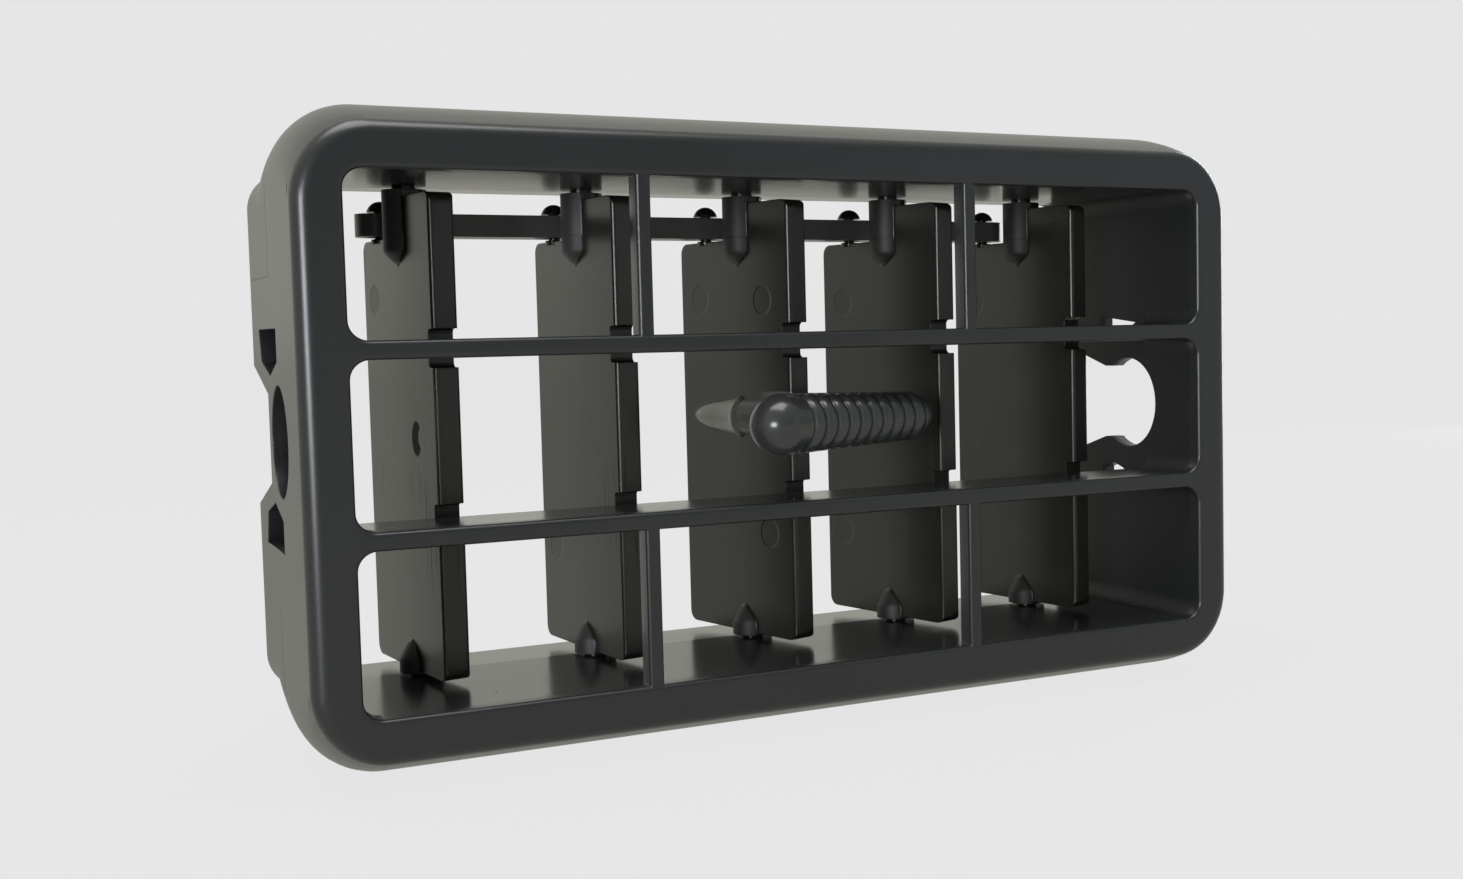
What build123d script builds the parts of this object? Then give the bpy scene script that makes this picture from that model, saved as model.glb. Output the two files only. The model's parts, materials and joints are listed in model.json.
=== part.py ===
from build123d import *

import os
from math import cos, radians, sin, tan

# Panel air outlet: a tilting louvre insert with five linked vanes and a ribbed grip.
# The origin is the centre of the left seat, X runs to the right along the tilt axis,
# Y runs back into the panel and Z is up. Sizes are in millimetres, angles in degrees.
# Depths are measured back from the front face.

# Opening, bezel and barrel skirt
opening_half_w = 60.0
opening_half_h = 31.35
bezel_w = 5.6
bezel_h = 5.07
rim_r = 2.0
barrel_corner_r = 8.8
skirt_depth = 26.5
cheek_w = 12.0
skin_t = 2.2
flange_t = 4.5
lip_t = 3.0

# Duct
depth = 38.0
wall_t = 2.2
crease_depth = 26.0
side_flare = 0.2
ceiling_flare = 0.6
duct_corner_r = 5.0

# Bars and posts of the grille
bar_half_gap = 9.78
bar_t = 2.22
bar_depth = 12.0
row_corner_r = 2.3
row_edge_r = 0.6
row_draft = 0.8
post_w = 1.9
post_depth = 3.0
post_setback = 0.15
post_edge_r = 0.45
post_inset = 0.4
post_root = 0.4

# Seats in the side walls: a bore on the left, a snap fork on the right
seat_depth = 17.25
seat_r = 6.9
throat_snap = 1.3
mouth_back = 5.7
mouth_slope = 16.7
bridge_t = 2.3
# Corners of the relief windows above each seat, as distances back from and up from its axis
bore_relief = ((0, 13.7), (15, 13.7), (13.5, 9.5), (6.7, 7.8), (0, 9.6))
fork_relief = ((-2.1, 12.4), (6.75, 13.4), (6.75, 10.6), (4.0, 9.6), (1.5, 10.4))

# Vanes, with the angle that each one stands at when the loose link is at rest
vane_rest = (10.2, 9.4, 15.8, 16.0, 13.8)
vane_side_room = 14.7
vane_shift = 0.45
vane_depth = 25.15
vane_aft = 14.0
nose_gap = 1.35
nose_half_t = 1.7
pivot_half_t = 1.15
tail_half_t = 0.4
vane_gap_top = 1.3
vane_gap_low = 0.7
nose_corner_r = 1.6
nose_edge_r = 0.55
tail_corner_r = 1.5
bar_clear = 1.3
nose_notch = 1.7
nose_notch_r = 0.6

# Pivots
boss_r = 2.8
boss_gap = 0.3
boss_top_len = 12.0
boss_top_point = 5.8
boss_low_len = 6.0
boss_low_point = 4.0
boss_bulge = 0.6
pivot_r = 1.5
pivot_fit = 0.05
pivot_len = 1.6
pivot_end_gap = 0.3

# Link bar
link_angle = 12.9
link_aft = 8.5
link_w = 5.2
link_h = 3.0
link_end = 2.9
link_drop = 5.8
link_floor_gap = 0.45
link_pin_r = 0.8
link_play = 0.58
link_head_r = 1.75
link_head_gap = 0.3
link_head_h = 1.4
link_foot_r = 1.25
link_foot_rise = 0.15
link_foot_len = 0.6
notch_start = 2.0

# Grip and the fairing behind it
grip_z = 0.1
grip_fore = 9.6
grip_half = 11.9
grip_r_left = 3.95
grip_r_right = 3.35
rib_count = 10
rib_start = 3.0
rib_h = 0.4
neck_r_front = 3.2
neck_r_rear = 2.8
fork_len = 11.0
fork_fit = 0.04
fairing_gap = 0.6
fairing_r = 3.2
fairing_tail = 1.6

# Derived sizes
row_grow = (bar_depth - lip_t) * tan(radians(row_draft))
bezel_shift = (bezel_w - wall_t - row_grow) / 2
housing_half = opening_half_w + bezel_w - bezel_shift
inner_half = housing_half - wall_t
mid = housing_half - wall_t / 2
bezel_left = mid - housing_half
bezel_right = bezel_left + 2 * (opening_half_w + bezel_w)
wall_right = mid + housing_half
barrel_r = ((opening_half_h + bezel_h) ** 2 + seat_depth**2) ** 0.5
ceiling = opening_half_h + row_grow
duct_half_h = ceiling + skin_t
bar_outer = bar_half_gap + bar_t
row_h = opening_half_h - bar_outer
row_z = (opening_half_h + bar_outer) / 2
rows = ((0, 2 * bar_half_gap), (row_z, row_h), (-row_z, row_h))
throat_half = seat_r - throat_snap
mouth_rise = tan(radians(mouth_slope))
seat_rear = depth - seat_depth + 1
vane_y = vane_depth - seat_depth
vane_fore = vane_depth - bar_depth - nose_gap
vane_pitch = (inner_half - vane_side_room) / 2
vane_mid = mid + vane_shift
vane_x = [vane_mid + (i - 2) * vane_pitch for i in range(5)]
vane_top = ceiling - vane_gap_top
vane_low = vane_gap_low - ceiling
post_x = vane_pitch - post_inset
post_y = post_setback + post_depth / 2 - seat_depth
pivot_ceiling = ceiling + ceiling_flare * max(0, vane_depth - crease_depth) / (depth - crease_depth)
boss_end = pivot_ceiling - boss_gap
pivot_end = boss_end + pivot_len
link_z = ceiling - link_drop
notch_floor = link_z - link_floor_gap
head_z = link_z + link_h + link_head_gap
head_dome_r = (link_head_r**2 + link_head_h**2) / (2 * link_head_h)
foot_top = notch_floor + link_foot_rise
link_x = vane_mid - link_aft * sin(radians(link_angle))
link_y = vane_y + link_aft * cos(radians(link_angle))
grip_y = -vane_fore - grip_fore
fork_end = fork_len - vane_fore
fairing_start = fork_end + fairing_gap
fairing_tip = vane_aft - fairing_tail
fairing_len = fairing_tip - fairing_start

os.makedirs("parts", exist_ok=True)


def across(deep, x=mid):
    """Upright plane at a depth behind the front face: x to the right, y up, normal to the front."""
    return Plane(origin=(x, deep - seat_depth, 0), x_dir=(1, 0, 0), z_dir=(0, -1, 0))


def upright(x):
    """Side plane at x: its x runs back from the seat axis, its y up."""
    return Plane(origin=(x, 0, 0), x_dir=(0, 1, 0), z_dir=(1, 0, 0))


def level(i, z):
    """Level plane on the pivot of vane i: x across the vane, y to its rear edge."""
    turn = radians(vane_rest[i])
    return Plane(origin=(vane_x[i], vane_y, z), x_dir=(cos(turn), sin(turn), 0), z_dir=(0, 0, 1))


def chord(i):
    """Upright plane through the middle of vane i: x to its rear edge, y up."""
    turn = radians(vane_rest[i])
    return Plane(origin=(vane_x[i], vane_y, 0), x_dir=(-sin(turn), cos(turn), 0), z_dir=(cos(turn), sin(turn), 0))


# Space between the barrel skirt and the duct, open to the rear
with BuildPart() as hollow:
    with BuildSketch(upright(bezel_left + skin_t)):
        Circle(barrel_r - skin_t)
    extrude(amount=wall_right - bezel_left - 2 * skin_t)
    fillet(hollow.edges().filter_by(GeomType.CIRCLE), barrel_corner_r - skin_t)
    split(bisect_by=across(lip_t + skin_t), keep=Keep.BOTTOM)

# Frame: bezel, barrel skirt, duct, bars, posts and seats in one moulding
with BuildPart() as frame:
    with BuildSketch(upright(bezel_left)):
        Circle(barrel_r)
    extrude(amount=bezel_right - bezel_left)
    fillet(frame.edges().filter_by(GeomType.CIRCLE), barrel_corner_r)
    split(bisect_by=across(0), keep=Keep.BOTTOM)
    split(bisect_by=across(depth), keep=Keep.TOP)
    fillet(frame.faces().sort_by(Axis.Y)[0].edges(), rim_r)

    # The bezel overhangs the right wall as a flange
    with BuildSketch(upright(wall_right)):
        with Locations((flange_t - seat_depth, 0)):
            Rectangle(depth, 3 * barrel_r, align=(Align.MIN, Align.CENTER))
    extrude(amount=2 * bezel_w, mode=Mode.SUBTRACT)
    add(hollow.part, mode=Mode.SUBTRACT)

    # Behind the skirt only its two ends run on to the rear, as cheeks
    with BuildSketch(across(skirt_depth)):
        Rectangle(2 * (housing_half - cheek_w), 3 * barrel_r)
    extrude(amount=skirt_depth - depth - 1, mode=Mode.SUBTRACT)

    # Duct walls, with a crease where the rear end flares
    with BuildSketch(across(lip_t)):
        RectangleRounded(2 * housing_half, 2 * duct_half_h, duct_corner_r)
    extrude(amount=lip_t - crease_depth)
    with BuildSketch(across(crease_depth)):
        RectangleRounded(2 * housing_half, 2 * duct_half_h, duct_corner_r)
    with BuildSketch(across(depth)):
        RectangleRounded(2 * (housing_half + side_flare), 2 * (duct_half_h + ceiling_flare), duct_corner_r)
    loft()

    # Three rows through the bezel, then past the bars, then the open duct
    for z, high in rows:
        with BuildSketch(across(0, mid + bezel_shift)):
            with Locations((0, z)):
                RectangleRounded(2 * opening_half_w, high, row_corner_r)
        extrude(amount=-lip_t, mode=Mode.SUBTRACT)
    fillet(frame.faces().sort_by(Axis.Y)[0].inner_wires().edges(), row_edge_r)
    for z, high in rows:
        with BuildSketch(across(lip_t)):
            with Locations((0, z)):
                RectangleRounded(2 * (inner_half - row_grow), high, row_corner_r)
        extrude(amount=lip_t - bar_depth, taper=-row_draft, mode=Mode.SUBTRACT)
    with BuildSketch(across(bar_depth)):
        RectangleRounded(2 * inner_half, 2 * ceiling, row_corner_r)
    extrude(amount=bar_depth - crease_depth, mode=Mode.SUBTRACT)
    with BuildSketch(across(crease_depth)):
        RectangleRounded(2 * inner_half, 2 * ceiling, row_corner_r)
    with BuildSketch(across(depth)):
        RectangleRounded(2 * (inner_half + side_flare), 2 * (ceiling + ceiling_flare), row_corner_r)
    loft(mode=Mode.SUBTRACT)

    # Posts in the top and bottom rows
    for low in (bar_outer - post_root, -opening_half_h - post_root):
        with BuildSketch(Plane.XY.offset(low)):
            with Locations((mid - post_x, post_y), (mid + post_x, post_y)):
                RectangleRounded(post_w, post_depth, post_edge_r)
        extrude(amount=row_h + 2 * post_root)

    # Seats, their mouths and the relief windows that leave a springy finger on each side
    for x in (bezel_left - wall_t, wall_right - 2 * wall_t):
        closed = x < mid
        relief = bore_relief if closed else fork_relief
        mouth = seat_r + bridge_t if closed else mouth_back
        mouth_end = throat_half + mouth_rise * (seat_rear - mouth)
        with BuildSketch(upright(x)):
            Circle(seat_r)
            if not closed:
                Rectangle(mouth_back, 2 * throat_half, align=(Align.MIN, Align.CENTER))
            with BuildLine():
                Polyline(
                    (mouth, throat_half),
                    (seat_rear, mouth_end),
                    (seat_rear, -mouth_end),
                    (mouth, -throat_half),
                    close=True,
                )
            make_face()
            for side in (1, -1):
                with BuildLine():
                    Polyline(*[(back, side * up) for back, up in relief], close=True)
                make_face()
        extrude(amount=3 * wall_t, mode=Mode.SUBTRACT)

    # Holes for the vanes' pivots in the ceiling and the floor
    with BuildSketch(Plane.XY.offset(-pivot_end - pivot_end_gap)):
        with Locations([(x, vane_y) for x in vane_x]):
            Circle(pivot_r + pivot_fit)
    extrude(amount=2 * (pivot_end + pivot_end_gap), mode=Mode.SUBTRACT)
frame.part.label = "frame"
export_step(frame.part, "parts/frame.step")

# Vanes: tapered blades with pointed pivot bosses and a headed link pin behind the pivot
for i in range(5):
    with BuildPart() as vane:
        with BuildSketch(level(i, vane_low)) as section:
            with BuildLine():
                Polyline(
                    (-nose_half_t, -vane_fore),
                    (nose_half_t, -vane_fore),
                    (pivot_half_t, 0),
                    (tail_half_t, vane_aft),
                    (-tail_half_t, vane_aft),
                    (-pivot_half_t, 0),
                    close=True,
                )
            make_face()
            fillet(section.vertices().group_by(Axis.Y)[0], nose_edge_r)
        extrude(amount=vane_top - vane_low)
        with BuildSketch(chord(i)) as outline:
            with BuildLine():
                Polyline(
                    (-vane_fore, vane_low),
                    (vane_aft, vane_low),
                    (vane_aft, notch_floor),
                    (notch_start, notch_floor),
                    (notch_start, vane_top),
                    (-vane_fore, vane_top),
                    close=True,
                )
            make_face()
            fillet(outline.vertices().group_by(Axis.X)[0], nose_corner_r)
            fillet(outline.vertices().group_by(Axis.X)[-1], tail_corner_r)
            with Locations((-vane_fore, bar_half_gap + bar_t / 2), (-vane_fore, -bar_half_gap - bar_t / 2)):
                RectangleRounded(2 * nose_notch, bar_t + 2 * bar_clear, nose_notch_r, mode=Mode.SUBTRACT)
        extrude(amount=2 * nose_half_t, both=True, mode=Mode.INTERSECT)

        for side, long, point in ((1, boss_top_len, boss_top_point), (-1, boss_low_len, boss_low_point)):
            tip = side * (pivot_ceiling - long)
            shoulder = tip + side * point
            with BuildSketch(chord(i)):
                with BuildLine():
                    Polyline(
                        (0, tip),
                        (0, side * pivot_end),
                        (pivot_r, side * pivot_end),
                        (pivot_r, side * boss_end),
                        (boss_r, side * boss_end),
                        (boss_r, shoulder),
                    )
                    ThreePointArc((boss_r, shoulder), (boss_bulge * boss_r, (tip + shoulder) / 2), (0, tip))
                make_face()
            revolve(axis=Axis((vane_x[i], vane_y, 0), (0, 0, 1)))

        with BuildSketch(chord(i)):
            with BuildLine():
                Polyline(
                    (link_aft, head_z + link_head_h),
                    (link_aft, foot_top - link_foot_len),
                    (link_aft + link_foot_r, foot_top - link_foot_len),
                    (link_aft + link_foot_r, foot_top),
                    (link_aft + link_pin_r, foot_top),
                    (link_aft + link_pin_r, head_z),
                    (link_aft + link_head_r, head_z),
                )
                RadiusArc((link_aft + link_head_r, head_z), (link_aft, head_z + link_head_h), -head_dome_r)
            make_face()
        revolve(axis=Axis(level(i, 0).from_local_coords((0, link_aft, 0)), (0, 0, 1)))

        # The middle vane carries the fairing that runs back from the grip's fork
        if i == 2:
            with BuildSketch(level(i, grip_z)):
                with BuildLine():
                    Polyline((0, fairing_tip), (0, fairing_start), (fairing_r, fairing_start))
                    Spline(
                        (fairing_r, fairing_start),
                        (0.72 * fairing_r, fairing_start + 0.52 * fairing_len),
                        (0.44 * fairing_r, fairing_start + 0.81 * fairing_len),
                        (0, fairing_tip),
                    )
                make_face()
            revolve(axis=Axis(level(i, grip_z).origin, level(i, grip_z).y_dir))
    vane.part.label = f"vane_{i + 1}"
    export_step(vane.part, f"parts/vane_{i + 1}.step")

# Link bar: one loose hole for each vane's pin
with BuildPart() as link_bar:
    with BuildSketch(Plane(origin=(link_x, link_y, link_z))):
        SlotOverall(4 * vane_pitch + 2 * link_end, link_w)
        with GridLocations(vane_pitch, 0, 5, 1):
            Circle(link_pin_r + link_play, mode=Mode.SUBTRACT)
    extrude(amount=link_h)
link_bar.part.label = "link_bar"
export_step(link_bar.part, "parts/link_bar.step")

# Grip: a ribbed cross bar on a forked neck that straddles the middle vane
with BuildPart() as knob:
    grip_plane = level(2, grip_z)
    rib_pitch = (2 * grip_half - rib_start) / rib_count
    rib_taper = (grip_r_right - grip_r_left) / (2 * grip_half)
    rib_base = grip_r_left - rib_h + rib_taper * rib_start
    ribs_x = [rib_start - grip_half + rib_pitch * k for k in range(rib_count)]
    with BuildSketch(grip_plane):
        with BuildLine():
            RadiusArc((-grip_half - grip_r_left, grip_y), (-grip_half, grip_y - grip_r_left), -grip_r_left)
            Line((-grip_half, grip_y - grip_r_left), (ribs_x[0], grip_y - rib_base))
            for x in ribs_x:
                r0 = rib_base + rib_taper * (x - ribs_x[0])
                r1 = r0 + rib_taper * rib_pitch
                Polyline(
                    (x, grip_y - r0),
                    (x + rib_pitch / 4, grip_y - (3 * r0 + r1) / 4 - 0.75 * rib_h),
                    (x + rib_pitch / 2, grip_y - (r0 + r1) / 2 - rib_h),
                    (x + 3 * rib_pitch / 4, grip_y - (r0 + 3 * r1) / 4 - 0.75 * rib_h),
                    (x + rib_pitch, grip_y - r1),
                )
            RadiusArc((grip_half, grip_y - r1), (grip_half + r1, grip_y), -r1)
            Line((grip_half + r1, grip_y), (-grip_half - grip_r_left, grip_y))
        make_face()
    revolve(axis=Axis(grip_plane.from_local_coords((0, grip_y, 0)), grip_plane.x_dir))
    with BuildSketch(grip_plane):
        with BuildLine():
            Polyline((0, grip_y), (neck_r_front, grip_y), (neck_r_rear, fork_end), (0, fork_end), close=True)
        make_face()
    revolve(axis=Axis(grip_plane.origin, grip_plane.y_dir))
    with BuildSketch(level(2, grip_z - grip_r_left)):
        with BuildLine():
            Polyline(
                (-nose_half_t - fork_fit, -vane_fore - fork_fit),
                (nose_half_t + fork_fit, -vane_fore - fork_fit),
                (pivot_half_t + fork_fit, 0),
                (-pivot_half_t - fork_fit, 0),
                close=True,
            )
        make_face()
    extrude(amount=2 * grip_r_left, mode=Mode.SUBTRACT)
knob.part.label = "knob"
export_step(knob.part, "parts/knob.step")
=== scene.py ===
"""Looks of the panel air outlet: black moulded ABS on a plain pale studio floor."""

import json
from math import cos, radians, sin

import bpy
from mathutils import Matrix, Vector

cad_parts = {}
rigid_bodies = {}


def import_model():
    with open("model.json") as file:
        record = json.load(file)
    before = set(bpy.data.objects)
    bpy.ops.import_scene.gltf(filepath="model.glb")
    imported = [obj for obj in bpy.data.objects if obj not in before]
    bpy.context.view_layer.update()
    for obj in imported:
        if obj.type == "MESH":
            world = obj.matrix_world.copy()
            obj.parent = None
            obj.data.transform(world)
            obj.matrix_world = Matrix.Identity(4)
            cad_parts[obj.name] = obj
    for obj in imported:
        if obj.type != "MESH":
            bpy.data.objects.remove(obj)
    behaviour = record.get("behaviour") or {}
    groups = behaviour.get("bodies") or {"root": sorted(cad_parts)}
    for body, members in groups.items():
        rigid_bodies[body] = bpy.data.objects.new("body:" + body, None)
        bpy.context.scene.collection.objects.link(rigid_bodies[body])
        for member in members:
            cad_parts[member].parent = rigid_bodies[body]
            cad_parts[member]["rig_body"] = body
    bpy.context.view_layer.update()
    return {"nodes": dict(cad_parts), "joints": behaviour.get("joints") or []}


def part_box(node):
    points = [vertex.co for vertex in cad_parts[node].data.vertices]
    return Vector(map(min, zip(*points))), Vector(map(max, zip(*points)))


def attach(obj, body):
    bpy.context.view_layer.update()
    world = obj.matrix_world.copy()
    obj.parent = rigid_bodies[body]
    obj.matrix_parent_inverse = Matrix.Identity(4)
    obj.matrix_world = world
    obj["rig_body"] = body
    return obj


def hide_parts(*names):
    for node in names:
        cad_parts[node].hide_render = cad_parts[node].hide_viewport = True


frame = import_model()
MM = 0.001

# Photo's camera, worked out from the edges of the opening, the bars and the floor
PHOTO_W, PHOTO_H = 1463, 879
CAMERA_PLACE = Vector((-26.67, -202.08, 11.82)) * MM
CAMERA_YAW, CAMERA_PITCH, CAMERA_ROLL = 0.4767, -0.0630, -0.0211
FOCAL_PX = 1592.8
OPTICAL_CENTRE_PX = (861.9, 432.2)
SENSOR_W = 36.0

# Sizes that the finishes follow, in metres
joints = {joint["name"]: joint for joint in frame["joints"]}
frame_low, frame_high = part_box("frame")
CENTRE = (frame_low + frame_high) / 2
FRONT_Y = frame_low.y
CEILING_Z = 31.5 * MM
WALL_LEFT_X, WALL_RIGHT_X = 1.1 * MM, 124.62 * MM

# How strongly moulded plastics bend light
ABS_IOR, ACETAL_IOR = 1.52, 1.48
# Steepest edge that still looks round
SMOOTH_ANGLE = radians(32)


def linear(code):
    """Turns an sRGB hex code into a linear colour with full alpha."""
    parts = [int(code[k:k + 2], 16) / 255 for k in (0, 2, 4)]
    return (*[c / 12.92 if c <= 0.04045 else ((c + 0.055) / 1.055) ** 2.4 for c in parts], 1.0)


def add(tree, kind, inputs=None, **settings):
    """Adds a node to a tree with its settings, and links or sets its inputs."""
    made = tree.nodes.new(kind)
    for name, value in settings.items():
        setattr(made, name, value)
    for socket, value in (inputs or {}).items():
        if isinstance(value, bpy.types.NodeSocket):
            tree.links.new(value, made.inputs[socket])
        else:
            made.inputs[socket].default_value = value
    return made


def calc(tree, operation, *terms):
    """One step of arithmetic on sockets and numbers."""
    return add(tree, "ShaderNodeMath", dict(enumerate(terms)), operation=operation).outputs[0]


def ramp(tree, value, low, high, to_low=0.0, to_high=1.0):
    """Spreads a value that runs from low to high over another range, and holds it there."""
    return add(tree, "ShaderNodeMapRange", {
        "Value": value, "From Min": low, "From Max": high, "To Min": to_low, "To Max": to_high,
    }).outputs[0]


def blend(tree, share, first, second, kind="RGBA"):
    """Mixes two colours, or two numbers, by a share."""
    mix = add(tree, "ShaderNodeMix", {"Factor": share, "A": first, "B": second}, data_type=kind)
    return mix.outputs["Result"]


def all_of(tree, *masks):
    """Where every one of several masks holds."""
    held = masks[0]
    for mask in masks[1:]:
        held = calc(tree, "MULTIPLY", held, mask)
    return held


def any_of(tree, *masks):
    """Where at least one of several masks holds."""
    held = masks[0]
    for mask in masks[1:]:
        held = calc(tree, "MAXIMUM", held, mask)
    return held


def noise(tree, place, size, detail):
    """Cloudy noise with lumps of a size in millimetres."""
    return add(tree, "ShaderNodeTexNoise", {
        "Vector": place, "Scale": 1 / (size * MM), "Detail": detail,
    }).outputs["Fac"]


def upright_streaks(tree, place, width, length, detail):
    """Noise drawn out upwards, in streaks of a width and a length in millimetres."""
    stretched = add(tree, "ShaderNodeMapping", {
        "Vector": place, "Scale": (1 / (width * MM), 1 / (width * MM), 1 / (length * MM)),
    })
    return add(tree, "ShaderNodeTexNoise", {
        "Vector": stretched.outputs[0], "Scale": 1.0, "Detail": detail,
    }).outputs["Fac"]


def rounded(tree, radius):
    """A normal that rounds sharp edges by a radius in millimetres."""
    return add(tree, "ShaderNodeBevel", {"Radius": radius * MM}, samples=6).outputs[0]


def bumped(tree, height, strength, depth, normal, sunk=False):
    """A normal with a relief of a depth in millimetres laid over it."""
    return add(tree, "ShaderNodeBump", {
        "Strength": strength, "Distance": depth * MM, "Height": height, "Normal": normal,
    }, invert=sunk).outputs["Normal"]


def new_material(name):
    """An empty node material with its shader and output joined up, and the place on the object."""
    material = bpy.data.materials.new(name)
    material.use_nodes = True
    tree = material.node_tree
    tree.nodes.clear()
    shader = add(tree, "ShaderNodeBsdfPrincipled")
    add(tree, "ShaderNodeOutputMaterial", {"Surface": shader.outputs["BSDF"]})
    place = add(tree, "ShaderNodeTexCoord").outputs["Object"]
    return material, tree, shader, place


def axes_of(tree, place):
    """The three coordinates of a place."""
    split = add(tree, "ShaderNodeSeparateXYZ", {"Vector": place})
    return split.outputs["X"], split.outputs["Y"], split.outputs["Z"]


def dress(tree, shader, colour, rough, normal):
    """Joins a colour, a roughness and a normal to a shader."""
    tree.links.new(colour, shader.inputs["Base Color"])
    tree.links.new(rough, shader.inputs["Roughness"])
    tree.links.new(normal, shader.inputs["Normal"])


# Steps that the mould's inserts left on the left wall: start back from and above the seat axis, and side
INSERT_STEPS = ((4.4, 20.0, 1), (6.0, -21.0, -1))
INSERT_STEP_W = 0.2
# Where the polish of the duct starts and is full: behind the bezel's face, and out from ceiling and walls
POLISH_BEHIND, POLISH_ABOVE, POLISH_BESIDE = (1.2, 2.2), (1.6, 1.0), (1.2, 0.6)
# Where the matte inner face of the right wall starts and is full, in from the wall; it is also painted
# darker there, as painted shade
MATTE_WALL = (3.4, 2.2)
# Distance between specks of dust, and their edge and core as shares of it
DUST_GAP, DUST_EDGE, DUST_CORE = 11, 0.035, 0.02
# Size of the grain and of the flow mottling, height of grain and steps, and round of the edges
GRAIN_SIZE, FLOW_SIZE = 0.6, 18
GRAIN_H, INSERT_STEP_H, FRAME_EDGE_R = 0.01, 0.1, 0.25
SATIN_ROUGH, POLISHED_ROUGH = (0.27, 0.31), (0.15, 0.23)
MATTE_ROUGH, DUST_ROUGH = 0.62, 0.8


# Black ABS, injection moulded: outside a satin face from a lightly sparked mould, inside a polished one
# that mirrors the vanes. A fine grain and faint flow mottling keep it from looking like flat paint, and a
# few specks of dust dull the mirror.
def satin_black_abs():
    material, tree, shader, place = new_material("satin_black_abs")
    across, back, high = axes_of(tree, place)
    grain = noise(tree, place, GRAIN_SIZE, 2.0)
    flow = noise(tree, place, FLOW_SIZE, 3.0)
    height = calc(tree, "ABSOLUTE", high)
    inside = all_of(
        tree,
        ramp(tree, back, *[FRONT_Y + reach * MM for reach in POLISH_BEHIND]),
        ramp(tree, height, *[CEILING_Z + reach * MM for reach in POLISH_ABOVE]),
        ramp(tree, across, *[WALL_LEFT_X - reach * MM for reach in POLISH_BESIDE]),
        ramp(tree, across, *[WALL_RIGHT_X + reach * MM for reach in POLISH_BESIDE]),
    )
    by_right_wall = ramp(tree, across, *[WALL_RIGHT_X - reach * MM for reach in MATTE_WALL])
    matte_and_shaded_wall = all_of(tree, by_right_wall, inside)
    dust = add(tree, "ShaderNodeTexVoronoi", {"Vector": place, "Scale": 1 / (DUST_GAP * MM)})
    dusty = all_of(tree, ramp(tree, dust.outputs["Distance"], DUST_EDGE, DUST_CORE), inside)
    colour = blend(tree, flow, linear("1c1e1f"), linear("232526"))
    # Painted shade: the right wall's inner face is painted darker than the rest; its matte roughness is
    # real
    colour = blend(tree, matte_and_shaded_wall, colour, linear("131516"))
    satin = ramp(tree, grain, 0.0, 1.0, *SATIN_ROUGH)
    polish = ramp(tree, flow, 0.0, 1.0, *POLISHED_ROUGH)
    rough = blend(tree, inside, satin, polish, "FLOAT")
    rough = blend(tree, matte_and_shaded_wall, rough, MATTE_ROUGH, "FLOAT")
    rough = blend(tree, dusty, rough, DUST_ROUGH, "FLOAT")
    steps = []
    for start_back, start_high, side in INSERT_STEPS:
        rear = ramp(tree, back, start_back * MM, (start_back + INSERT_STEP_W) * MM)
        past = ramp(tree, high, start_high * MM, (start_high + INSERT_STEP_W * side) * MM)
        steps.append(all_of(tree, rear, past))
    on_left = calc(tree, "LESS_THAN", across, 0.0)
    raised = all_of(tree, any_of(tree, *steps), on_left)
    stepped = bumped(tree, raised, 1.0, INSERT_STEP_H, rounded(tree, FRAME_EDGE_R))
    lumps = all_of(tree, grain, calc(tree, "SUBTRACT", 1.0, inside))
    dress(tree, shader, colour, rough, bumped(tree, lumps, 0.08, GRAIN_H, stepped))
    shader.inputs["IOR"].default_value = ABS_IOR
    return material


# Angle that each vane stands at, in degrees
VANE_REST = (10.2, 9.4, 15.8, 16.0, 13.8)
# Ejector marks on each vane's left face: distance back from the pivot and height
EJECTOR_MARKS = (
    ((9.8, 17.4),),
    ((9.6, -17.5),),
    ((9.4, 17.0), (-5.7, 16.5), (-6.2, -16.1)),
    ((9.5, 16.3), (10.2, -18.8)),
    ((9.8, 16.0),),
)
EJECTOR_R, EJECTOR_SOFT, EJECTOR_DEPTH = 2.0, 0.12, 0.06
# How strongly dark hair lines from handling show on each vane, and the heights that they fade in and out at
HAIR_LINES = (0.9, 0.8, 0.35, 0.25, 0.2)
HAIR_TOP, HAIR_FULL, HAIR_THIN, HAIR_END = 11, -6, -16, -24
# Bosses: radius with its soft edge, how far they stand off the blade, the height past which they lie,
# and how strongly each vane's boss is painted paler than its blade, as painted light, strongest on the
# first vane
BOSS_REACH, BOSS_PROUD, BOSS_FROM = (3.1, 2.9), (1.35, 1.6), 12
BOSS_PAINTED_LIGHT = (1.0, 0.6, 0.2, 0.0, 0.0)
# Crescent nick in the left face of the first vane, its crescent painted near-black as painted shade of the
# nick's hollow: middle and half sizes of its round and of the cut
NICK_VANE = 1
NICK_ROUNDS = (((-4.5, -0.55), (1.7, 2.25)), ((-6.8, -0.4), (1.7, 1.5)))
NICK_EDGE = (1.05, 0.92)
# The middle vane carries the grip and the fairing behind it; the fairing is painted paler within a height,
# a painted highlight for the light that it mirrors
GRIP_VANE = 3
FAIRING_HIGHLIGHT_REACH = (3.9, 3.5)
# Sheen along a vane: dull by the nose and brighter from behind the pivot on
DULL_BACK, BRIGHT_BACK = -13, 6
DULL_SHEEN, BRIGHT_SHEEN = 0.37, 0.57
# Grain and clouds of a blade, width and length of its rub streaks and hair lines, and round of its edges
BLADE_GRAIN_SIZE, BLADE_GRAIN_H, CLOUD_SIZE = 0.8, 0.02, 9
RUB_SIZE, HAIR_SIZE = (1.4, 40), (0.5, 24)
BLADE_EDGE_R = 0.2
# Parts of the noise that show as rub streaks and hair lines, and the clouds that they show in
RUB_FROM, RUB_CLOUDS = (0.58, 0.72), (0.5, 0.66)
HAIR_FROM, HAIR_CLOUDS = (0.6, 0.72), (0.42, 0.62)
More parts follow.
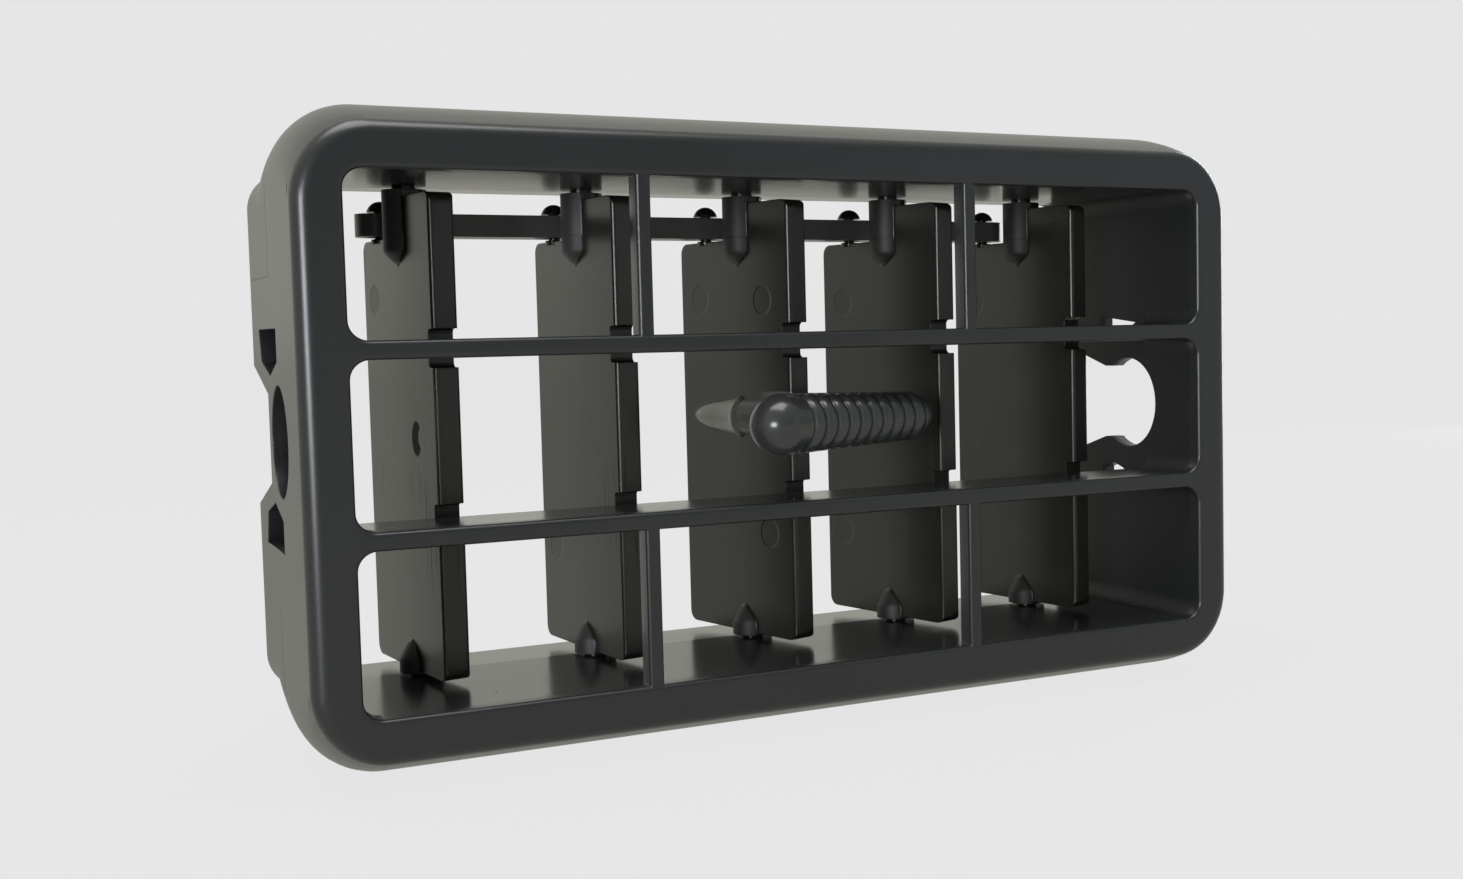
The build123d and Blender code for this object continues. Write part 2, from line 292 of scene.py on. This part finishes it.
# Roughness of a clean and a rubbed blade, and how much rougher its marks are
BLADE_ROUGH = (0.24, 0.36)
MARK_ROUGHER, HAIR_ROUGHER, BOSS_ROUGHER, NICK_ROUGHER = 0.1, 0.3, 0.3, 0.6


def vane_place(tree, place, index):
    """Coordinates that turn with a vane: across its blade, back from its pivot and up."""
    return add(tree, "ShaderNodeMapping", {
        "Vector": place,
        "Location": joints[f"vane_{index}_swing"]["pos_m"],
        "Rotation": (0.0, 0.0, radians(VANE_REST[index - 1])),
    }, vector_type="TEXTURE").outputs[0]


def from_middle(tree, face, middle, half_sizes):
    """Distance from the middle of a round mark on a face, as a share of its half sizes."""
    shifted = add(tree, "ShaderNodeMapping", {
        "Vector": face,
        "Location": (0.0, middle[0] * MM, middle[1] * MM),
        "Scale": (1.0, half_sizes[0] * MM, half_sizes[1] * MM),
    }, vector_type="TEXTURE")
    return add(tree, "ShaderNodeVectorMath", {0: shifted.outputs[0]}, operation="LENGTH").outputs["Value"]


# Black ABS from a polished mould: semi-gloss and a little olive, with faint upright rub streaks and hair
# lines at finger height and the round marks of the pins that pushed the blade out of its mould.
def semi_gloss_black_abs(index):
    material, tree, shader, place = new_material(f"semi_gloss_black_abs_{index}")
    local = vane_place(tree, place, index)
    across, back, high = axes_of(tree, local)
    left = calc(tree, "LESS_THAN", across, 0.0)
    grain = noise(tree, place, BLADE_GRAIN_SIZE, 2.0)
    cloud = noise(tree, place, CLOUD_SIZE, 3.0)
    streaks = upright_streaks(tree, local, *RUB_SIZE, 2.0)
    worn = all_of(tree, ramp(tree, streaks, *RUB_FROM), ramp(tree, cloud, *RUB_CLOUDS))
    hairs = upright_streaks(tree, local, *HAIR_SIZE, 1.0)
    scored = all_of(
        tree,
        ramp(tree, hairs, *HAIR_FROM),
        ramp(tree, high, HAIR_TOP * MM, HAIR_FULL * MM, 0.0, HAIR_LINES[index - 1]),
        ramp(tree, high, HAIR_END * MM, HAIR_THIN * MM),
        ramp(tree, cloud, *HAIR_CLOUDS),
    )
    face = add(tree, "ShaderNodeCombineXYZ", {"Y": back, "Z": high}).outputs[0]
    soft = EJECTOR_SOFT / EJECTOR_R
    discs = [
        ramp(tree, from_middle(tree, face, middle, (EJECTOR_R, EJECTOR_R)), 1 + soft, 1 - soft)
        for middle in EJECTOR_MARKS[index - 1]
    ]
    marks = all_of(tree, any_of(tree, *discs), left)
    plan = add(tree, "ShaderNodeCombineXYZ", {"X": across, "Y": back})
    from_axis = add(tree, "ShaderNodeVectorMath", {0: plan.outputs[0]}, operation="LENGTH").outputs["Value"]
    off_blade = calc(tree, "ABSOLUTE", across)
    far_up = calc(tree, "ABSOLUTE", high)
    proud = ramp(tree, off_blade, *[reach * MM for reach in BOSS_PROUD])
    boss = all_of(
        tree,
        proud,
        ramp(tree, from_axis, *[reach * MM for reach in BOSS_REACH]),
        calc(tree, "GREATER_THAN", far_up, BOSS_FROM * MM),
    )
    colour = blend(tree, cloud, linear("1d1d1a"), linear("24241e"))
    colour = blend(tree, worn, colour, linear("2c2c26"))
    colour = blend(tree, scored, colour, linear("10100e"))
    # Painted light: the bosses of the first vanes are painted paler to stand in for light falling on them
    colour = blend(tree, calc(tree, "MULTIPLY", boss, BOSS_PAINTED_LIGHT[index - 1]), colour, linear("3a3c3b"))
    rough = ramp(tree, worn, 0.0, 1.0, *BLADE_ROUGH)
    rough = calc(tree, "MULTIPLY_ADD", marks, MARK_ROUGHER, rough)
    rough = calc(tree, "MULTIPLY_ADD", scored, HAIR_ROUGHER, rough)
    rough = calc(tree, "MULTIPLY_ADD", boss, BOSS_ROUGHER, rough)
    if index == GRIP_VANE:
        painted_fairing_highlight = all_of(tree, proud, ramp(tree, far_up, *[reach * MM for reach in FAIRING_HIGHLIGHT_REACH]), left)
        # Painted highlight: the fairing is painted pale to stand in for the light that it reflects
        colour = blend(tree, painted_fairing_highlight, colour, linear("6e6e66"))
    if index == NICK_VANE:
        whole, cut = [
            ramp(tree, from_middle(tree, face, middle, half_sizes), *NICK_EDGE)
            for middle, half_sizes in NICK_ROUNDS
        ]
        crescent = add(tree, "ShaderNodeMath", {0: whole, 1: cut}, operation="SUBTRACT", use_clamp=True)
        nick_and_its_shade = all_of(tree, crescent.outputs[0], left)
        # Painted shade: the nick's crescent is painted near-black for the shade in its hollow; its extra
        # roughness is real
        colour = blend(tree, nick_and_its_shade, colour, linear("070707"))
        rough = calc(tree, "MULTIPLY_ADD", nick_and_its_shade, NICK_ROUGHER, rough)
    fine = bumped(tree, grain, 0.08, BLADE_GRAIN_H, rounded(tree, BLADE_EDGE_R))
    dress(tree, shader, colour, rough, bumped(tree, marks, 0.8, EJECTOR_DEPTH, fine, sunk=True))
    sheen = ramp(tree, back, DULL_BACK * MM, BRIGHT_BACK * MM, DULL_SHEEN, BRIGHT_SHEEN)
    tree.links.new(sheen, shader.inputs["Specular IOR Level"])
    shader.inputs["IOR"].default_value = ABS_IOR
    return material


# Grip: where its grooves start along the cross bar, how far apart they are, and the reach of their edges
RIB_FIRST, RIB_PITCH = -8.9, 2.08
GROOVE_FLOOR, GROOVE_EDGE, GROOVE_DEPTH, DOME_GAP = 0.02, 0.34, 0.12, 0.4
GRIP_WEAR_SIZE = 3
GRIP_ROUGH = (0.18, 0.26)


# Black ABS, polished by fingers: the grip, glossy on its dome and with a crisp dark line in each groove.
def gloss_black_abs():
    material, tree, shader, place = new_material("gloss_black_abs")
    wear = noise(tree, place, GRIP_WEAR_SIZE, 4.0)
    colour = blend(tree, wear, linear("2b2d2d"), linear("323433"))
    rough = ramp(tree, wear, 0.0, 1.0, *GRIP_ROUGH)
    along = axes_of(tree, vane_place(tree, place, GRIP_VANE))[0]
    from_first = calc(tree, "SUBTRACT", along, RIB_FIRST * MM)
    groove = add(tree, "ShaderNodeMapRange", {
        "Value": calc(tree, "PINGPONG", from_first, RIB_PITCH / 2 * MM),
        "From Min": GROOVE_FLOOR * MM, "From Max": GROOVE_EDGE * MM,
    }, interpolation_type="SMOOTHSTEP").outputs[0]
    skin = any_of(tree, groove, calc(tree, "LESS_THAN", from_first, -DOME_GAP * MM))
    relief = add(tree, "ShaderNodeBump", {"Strength": 0.6, "Distance": GROOVE_DEPTH * MM, "Height": skin})
    dress(tree, shader, colour, rough, relief.outputs["Normal"])
    shader.inputs["IOR"].default_value = ABS_IOR
    return material


# Link bar: size of its clouds, roughness, and round of its edges
LINK_CLOUD_SIZE, LINK_ROUGH, LINK_EDGE_R = 4, (0.24, 0.36), 0.3


# Black acetal, moulded: the link bar, waxy and a little greyer than the vanes.
def waxy_black_acetal():
    material, tree, shader, place = new_material("waxy_black_acetal")
    cloud = noise(tree, place, LINK_CLOUD_SIZE, 3.0)
    colour = blend(tree, cloud, linear("4c4d4c"), linear("545451"))
    rough = ramp(tree, cloud, 0.0, 1.0, *LINK_ROUGH)
    dress(tree, shader, colour, rough, rounded(tree, LINK_EDGE_R))
    shader.inputs["IOR"].default_value = ACETAL_IOR
    return material


def smooth_copy(node, material):
    """Puts a merged copy in place of a CAD node, with its round faces smooth and its flat faces flat."""
    source = frame["nodes"][node]
    piece = bpy.data.objects.new(f"{node}_moulding", source.data.copy())
    bpy.context.scene.collection.objects.link(piece)
    bpy.ops.object.select_all(action="DESELECT")
    bpy.context.view_layer.objects.active = piece
    piece.select_set(True)
    bpy.ops.object.mode_set(mode="EDIT")
    bpy.ops.mesh.select_all(action="SELECT")
    bpy.ops.mesh.remove_doubles(threshold=0.002 * MM)
    bpy.ops.object.mode_set(mode="OBJECT")
    bpy.ops.mesh.customdata_custom_splitnormals_clear()
    bpy.ops.object.shade_smooth_by_angle(angle=SMOOTH_ANGLE)
    weighted = piece.modifiers.new("flat_faces", "WEIGHTED_NORMAL")
    weighted.keep_sharp = True
    weighted.weight = 100
    bpy.ops.object.modifier_apply(modifier=weighted.name)
    piece.data.materials.clear()
    piece.data.materials.append(material)
    body = source["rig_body"]
    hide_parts(node)
    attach(piece, body)


smooth_copy("frame", satin_black_abs())
vane_finish = {number: semi_gloss_black_abs(number) for number in range(1, len(VANE_REST) + 1)}
for number, finish in vane_finish.items():
    smooth_copy(f"vane_{number}", finish)
smooth_copy("link_bar", waxy_black_acetal())
grip_finish = gloss_black_abs()
smooth_copy("knob", grip_finish)


def select_where(piece, test):
    """In edit mode, selects the corners of a piece that pass a test on their place."""
    bpy.ops.mesh.select_mode(type="VERT")
    bpy.ops.mesh.select_all(action="DESELECT")
    bpy.ops.object.mode_set(mode="OBJECT")
    for corner in piece.data.vertices:
        corner.select = test(corner.co)
    bpy.ops.object.mode_set(mode="EDIT")


def on_vane(number, across, back, high):
    """A place given across, back from and above a vane's pivot, in millimetres, as a point of the frame."""
    turn = radians(VANE_REST[number - 1])
    pivot = Vector(joints[f"vane_{number}_swing"]["pos_m"])
    right_of = across * cos(turn) - back * sin(turn)
    behind = across * sin(turn) + back * cos(turn)
    return pivot + Vector((right_of, behind, high)) * MM


def settle(piece, number, place, material):
    """Turns a finished piece with its vane, puts it in place and hangs it on the vane's body."""
    piece.rotation_euler = (0.0, 0.0, radians(VANE_REST[number - 1]))
    piece.location = place
    bpy.ops.object.transform_apply(location=True, rotation=True, scale=True)
    bpy.ops.object.shade_smooth_by_angle(angle=SMOOTH_ANGLE)
    piece.data.materials.append(material)
    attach(piece, f"vane_{number}")


# How near to a plane a corner counts as on it, in metres
ON_PLANE = 0.01 * MM

# Seam of the grip's mould: a thin rib round the cross bar, just behind its middle
GRIP_HALF, GRIP_BACK, GRIP_HIGH = 11.9, -21.4, 0.1
SEAM_R_LEFT, SEAM_R_RIGHT = 4.06, 3.3
SEAM_W, SEAM_BEHIND, SEAM_ROUND = 0.3, 0.4, 0.1
seam_taper = SEAM_R_RIGHT / SEAM_R_LEFT
grip_length = 2 * GRIP_HALF * MM
bpy.ops.object.select_all(action="DESELECT")
bpy.ops.mesh.primitive_cylinder_add(
    vertices=96, radius=SEAM_R_LEFT * MM, depth=SEAM_W * MM, rotation=(radians(90), 0.0, 0.0))
seam = bpy.context.object
seam.name = "grip_seam"
bpy.ops.object.transform_apply(location=True, rotation=True, scale=True)
bpy.ops.object.mode_set(mode="EDIT")
select_where(seam, lambda co: co.x > ON_PLANE)
bpy.ops.transform.translate(value=(grip_length, 0.0, 0.0))
bpy.ops.transform.resize(value=(seam_taper, 1.0, seam_taper), center_override=(grip_length, 0.0, 0.0))
bpy.ops.mesh.select_all(action="SELECT")
bpy.ops.mesh.bevel(offset=SEAM_ROUND * MM, segments=2, affect="EDGES")
bpy.ops.object.mode_set(mode="OBJECT")
seam_place = on_vane(GRIP_VANE, -GRIP_HALF, GRIP_BACK + SEAM_BEHIND, GRIP_HIGH)
settle(seam, GRIP_VANE, seam_place, grip_finish)

# Skirt of each vane's upper boss: its short pointed end, which carries the round of the boss further down
BOSS_R, BOSS_POINT_Z, BOSS_SHOULDER_Z, BOSS_TOP_Z = 2.82, 20.5, 23.2, 25.55
BOSS_TIP_SHARE, BOSS_SHOULDER_ROUND = 0.05, 0.5
boss_length = BOSS_TOP_Z - BOSS_SHOULDER_Z
boss_middle_z = (BOSS_TOP_Z + BOSS_SHOULDER_Z) / 2
shoulder_z = -boss_length / 2 * MM
point_drop = (0.0, 0.0, (BOSS_POINT_Z - BOSS_SHOULDER_Z) * MM)
for number, finish in vane_finish.items():
    bpy.ops.object.select_all(action="DESELECT")
    bpy.ops.mesh.primitive_cylinder_add(vertices=48, radius=BOSS_R * MM, depth=boss_length * MM)
    skirt = bpy.context.object
    skirt.name = f"vane_{number}_boss_skirt"
    bpy.ops.object.mode_set(mode="EDIT")
    select_where(skirt, lambda co: co.z < 0)
    bpy.ops.mesh.extrude_region_move(TRANSFORM_OT_translate={"value": point_drop})
    bpy.ops.transform.resize(value=(BOSS_TIP_SHARE, BOSS_TIP_SHARE, 1.0))
    select_where(skirt, lambda co: abs(co.z - shoulder_z) < ON_PLANE)
    bpy.ops.mesh.bevel(offset=BOSS_SHOULDER_ROUND * MM, segments=4, affect="EDGES")
    bpy.ops.object.mode_set(mode="OBJECT")
    settle(skirt, number, on_vane(number, 0.0, 0.0, boss_middle_z), finish)

# Floor: plain, pale and matte, and a little dimmer in the object's gloss than to the camera
FLOOR_SIZE, FLOOR_MIDDLE_X, FLOOR_GAP = 40.0, 0.06, 0.2
FLOOR_IN_GLOSS, FLOOR_GLOW_SHARE = 0.64, 0.97
PALE_GREY, PALE_CREAM = linear("e6e6e6"), linear("e8e8dc")
floor_material = bpy.data.materials.new("pale_matte_floor")
floor_material.use_nodes = True
floor_tree = floor_material.node_tree
floor_tree.nodes.clear()
ray = add(floor_tree, "ShaderNodeLightPath")
by_camera, by_gloss = ray.outputs["Is Camera Ray"], ray.outputs["Is Glossy Ray"]
matte = add(floor_tree, "ShaderNodeBsdfDiffuse", {"Color": PALE_GREY})
glow = add(floor_tree, "ShaderNodeEmission", {
    "Color": blend(floor_tree, by_gloss, PALE_GREY, PALE_CREAM),
    "Strength": calc(floor_tree, "MULTIPLY_ADD", by_gloss, FLOOR_IN_GLOSS - 1.0, 1.0),
})
seen = any_of(floor_tree, by_camera, by_gloss)
floor_mix = add(floor_tree, "ShaderNodeMixShader", {
    0: calc(floor_tree, "MULTIPLY", seen, FLOOR_GLOW_SHARE), 1: matte.outputs[0], 2: glow.outputs[0],
})
add(floor_tree, "ShaderNodeOutputMaterial", {"Surface": floor_mix.outputs[0]})
bpy.ops.mesh.primitive_plane_add(
    size=FLOOR_SIZE, location=(FLOOR_MIDDLE_X, 0.0, frame_low.z - FLOOR_GAP * MM))
floor = bpy.context.object
floor.name = "floor"
floor.data.materials.append(floor_material)

# World: a white room, bright and warm behind and to the left of the object, dim and cool by the camera
ROOM_BRIGHT_SIDE = (-0.45, 0.78, 0.44)
ROOM_DIM, ROOM_BRIGHT = 0.27, 0.68
ROOM_TURN = (-0.7, 0.5)
world = bpy.data.worlds.new("white_room")
bpy.context.scene.world = world
world.use_nodes = True
world_tree = world.node_tree
world_tree.nodes.clear()
world_ray = add(world_tree, "ShaderNodeLightPath")
toward = add(world_tree, "ShaderNodeTexCoord").outputs["Generated"]
facing = add(world_tree, "ShaderNodeVectorMath", {0: toward, 1: ROOM_BRIGHT_SIDE}, operation="DOT_PRODUCT")
bright_share = ramp(world_tree, facing.outputs["Value"], *ROOM_TURN)
room = add(world_tree, "ShaderNodeBackground", {
    "Color": blend(world_tree, bright_share, linear("eef5f8"), linear("fffff3")),
    "Strength": ramp(world_tree, bright_share, 0.0, 1.0, ROOM_DIM, ROOM_BRIGHT),
})
backdrop = add(world_tree, "ShaderNodeBackground", {"Color": PALE_GREY, "Strength": 1.0})
room_mix = add(world_tree, "ShaderNodeMixShader", {
    0: world_ray.outputs["Is Camera Ray"], 1: room.outputs[0], 2: backdrop.outputs[0],
})
add(world_tree, "ShaderNodeOutputWorld", {"Surface": room_mix.outputs[0]})

# Soft lights: place from the middle of the frame and size in metres, power in watts, and colour
SOFTBOXES = {
    "top": ((-0.1, -0.1, 0.7), (0.55, 0.45), 4.0, "ffffff"),
    "front_left": ((-0.65, -0.602, 0.06), (0.3, 0.2), 3.8, "f4f8ff"),
    "right_strip": ((0.55, 0.3, 0.1), (0.1, 0.6), 1.4, "e4f0ff"),
    "fill_right": ((0.75, -0.75, 0.2), (0.7, 0.7), 0.4, "f0f5ff"),
}


def softbox(name, place, size, power, colour):
    """A soft light at a place, turned to the middle of the frame."""
    lamp = bpy.data.lights.new(name, "AREA")
    lamp.shape = "RECTANGLE"
    lamp.size, lamp.size_y = size
    lamp.energy = power
    lamp.color = linear(colour)[:3]
    light = bpy.data.objects.new(name, lamp)
    bpy.context.scene.collection.objects.link(light)
    light.location = CENTRE + Vector(place)
    light.rotation_euler = (-Vector(place)).to_track_quat("-Z", "Y").to_euler()


for name, settings in SOFTBOXES.items():
    softbox(name, *settings)

# Camera
level_reach = cos(CAMERA_PITCH)
forward = Vector((sin(CAMERA_YAW) * level_reach, cos(CAMERA_YAW) * level_reach, sin(CAMERA_PITCH)))
level = Vector((cos(CAMERA_YAW), -sin(CAMERA_YAW), 0.0))
above = level.cross(forward)
right = cos(CAMERA_ROLL) * level + sin(CAMERA_ROLL) * above
up = -sin(CAMERA_ROLL) * level + cos(CAMERA_ROLL) * above
camera = bpy.data.objects.new("camera", bpy.data.cameras.new("camera"))
bpy.context.scene.collection.objects.link(camera)
turned = Matrix((right, up, -forward)).transposed().to_4x4()
camera.matrix_world = Matrix.Translation(CAMERA_PLACE) @ turned
camera.data.sensor_width = SENSOR_W
camera.data.lens = FOCAL_PX * SENSOR_W / PHOTO_W
camera.data.shift_x = (PHOTO_W / 2 - OPTICAL_CENTRE_PX[0]) / PHOTO_W
camera.data.shift_y = (OPTICAL_CENTRE_PX[1] - PHOTO_H / 2) / PHOTO_W
camera.data.clip_start, camera.data.clip_end = 0.01, 100.0
bpy.context.scene.camera = camera

bpy.context.scene.view_settings.view_transform = "Standard"

bpy.context.view_layer.update()
